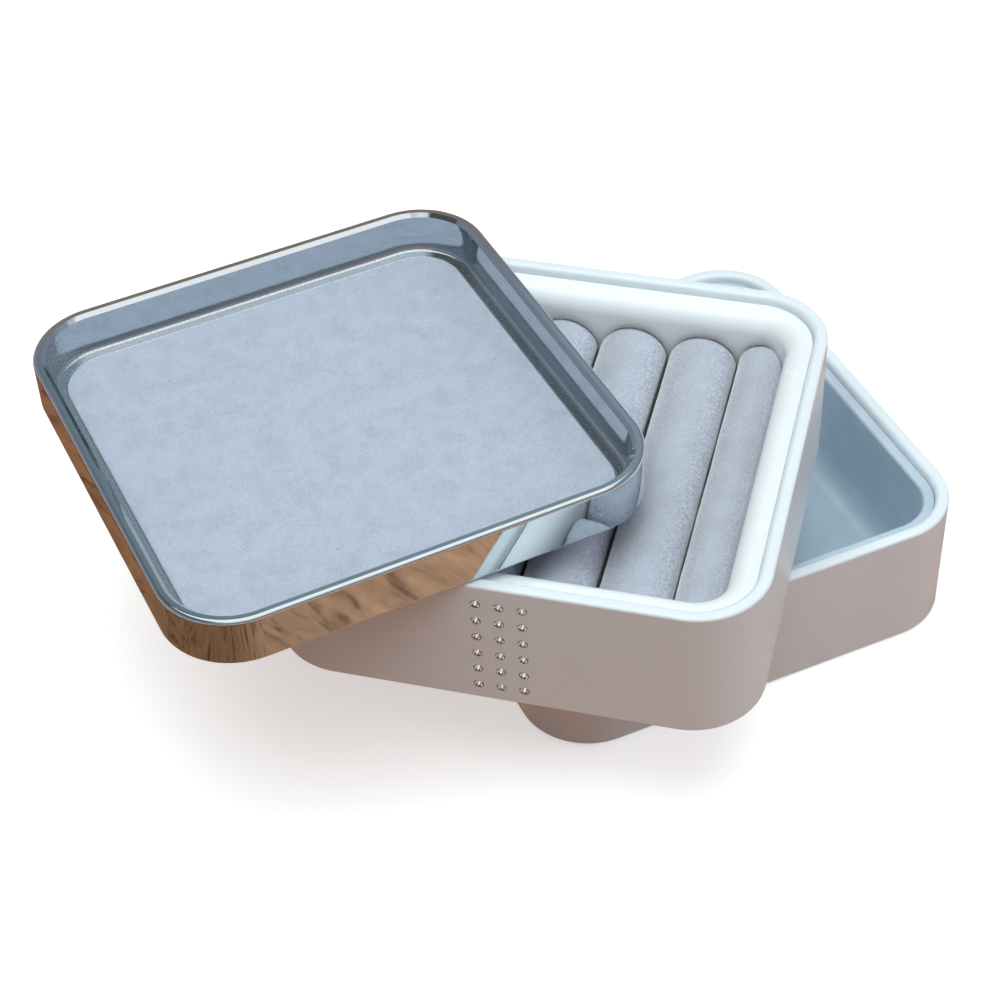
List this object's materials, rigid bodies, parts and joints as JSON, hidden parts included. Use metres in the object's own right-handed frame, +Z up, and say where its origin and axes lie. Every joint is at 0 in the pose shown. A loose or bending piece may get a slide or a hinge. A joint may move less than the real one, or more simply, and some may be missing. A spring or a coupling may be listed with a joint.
{
  "type": "travel jewelry box",
  "caption": "Square travel jewelry box whose tiers swivel open about a corner shaft: a deep compartment, a velvet ring pad with a crystal-set front, and a shallow mirror-plated tray as the lid.",
  "frame": {"origin": "centre of the base pad's underside, on the middle of the square bottom tier", "axes": "+Z up; the bottom tier's sides lie along X and Y, its front faces -Y, and the shaft stands in its back left corner, towards -X and +Y"},
  "size_m": [0.1759, 0.1294, 0.0741],
  "materials": {
    "white_shell": "gloss",
    "white_liner": "gloss",
    "grey_liner": "satin",
    "plating": "polished",
    "velvet": "matte",
    "card": "matte",
    "steel": "satin",
    "nylon": "matte",
    "crystal": "polished",
    "base_pad": "matte"
  },
  "bodies": {
    "bottom_tier": {"bottom_shell": "white_shell", "bottom_liner": "grey_liner", "base_pad": "base_pad", "pivot_shaft": "steel", "lower_friction_washer": "nylon", "wave_washer": "steel", "retaining_screw": "steel"},
    "middle_tier": {"middle_shell": "white_shell", "middle_liner": "white_liner", "ring_pad_card": "card", "ring_roll_1": "velvet", "ring_roll_2": "velvet", "ring_roll_3": "velvet", "ring_roll_4": "velvet", "ring_roll_5": "velvet", "ring_roll_6": "velvet", "crystal_01": "crystal", "crystal_02": "crystal", "crystal_03": "crystal", "crystal_04": "crystal", "crystal_05": "crystal", "crystal_06": "crystal", "crystal_07": "crystal", "crystal_08": "crystal", "crystal_09": "crystal", "crystal_10": "crystal", "crystal_11": "crystal", "crystal_12": "crystal", "crystal_13": "crystal", "crystal_14": "crystal", "crystal_15": "crystal", "crystal_16": "crystal", "crystal_17": "crystal", "crystal_18": "crystal", "upper_friction_washer": "nylon"},
    "lid": {"lid_tray": "plating", "lid_pad_card": "card", "lid_velvet_pad": "velvet"}
  },
  "joints": [
    {"name": "middle_swivel", "type": "hinge", "parent": "bottom_tier", "child": "middle_tier", "pos_m": [-0.038, 0.038, 0.031], "axis": [0, 0, -1], "range_deg": [-38.4, 141.6]},
    {"name": "lid_swivel", "type": "hinge", "parent": "middle_tier", "child": "lid", "pos_m": [-0.038, 0.038, 0.0627], "axis": [0, 0, -1], "range_deg": [-49.8, 130.2]}
  ]
}
